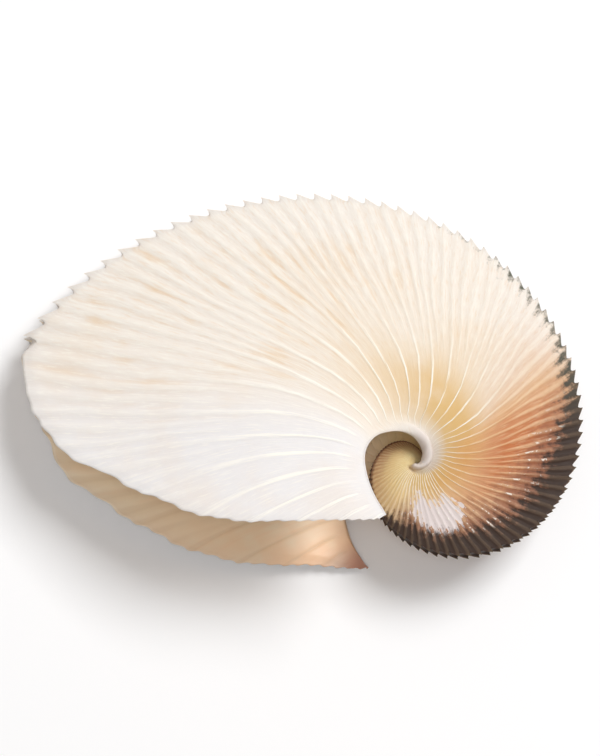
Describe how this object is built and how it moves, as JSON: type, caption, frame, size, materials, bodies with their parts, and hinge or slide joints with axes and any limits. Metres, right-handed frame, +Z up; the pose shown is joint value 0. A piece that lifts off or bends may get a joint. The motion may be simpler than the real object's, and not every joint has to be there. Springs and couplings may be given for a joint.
{
  "type": "paper nautilus shell",
  "caption": "Thin coiled egg case of an argonaut with radial ribs, a narrow keel edged by two rows of teeth and a wide open mouth, lying on its side.",
  "frame": {"origin": "middle of the underside of the shell's box, on the surface it lies on", "axes": "+X along the length, from the ears' side of the lip towards the coil; +Y in the plane it lies on, towards the keel over the top of the coil; +Z up, across the two flanks"},
  "size_m": [0.1724, 0.1166, 0.0427],
  "materials": {
    "shell": "satin"
  },
  "bodies": {
    "root": {"shell": "shell"}
  },
  "joints": []
}
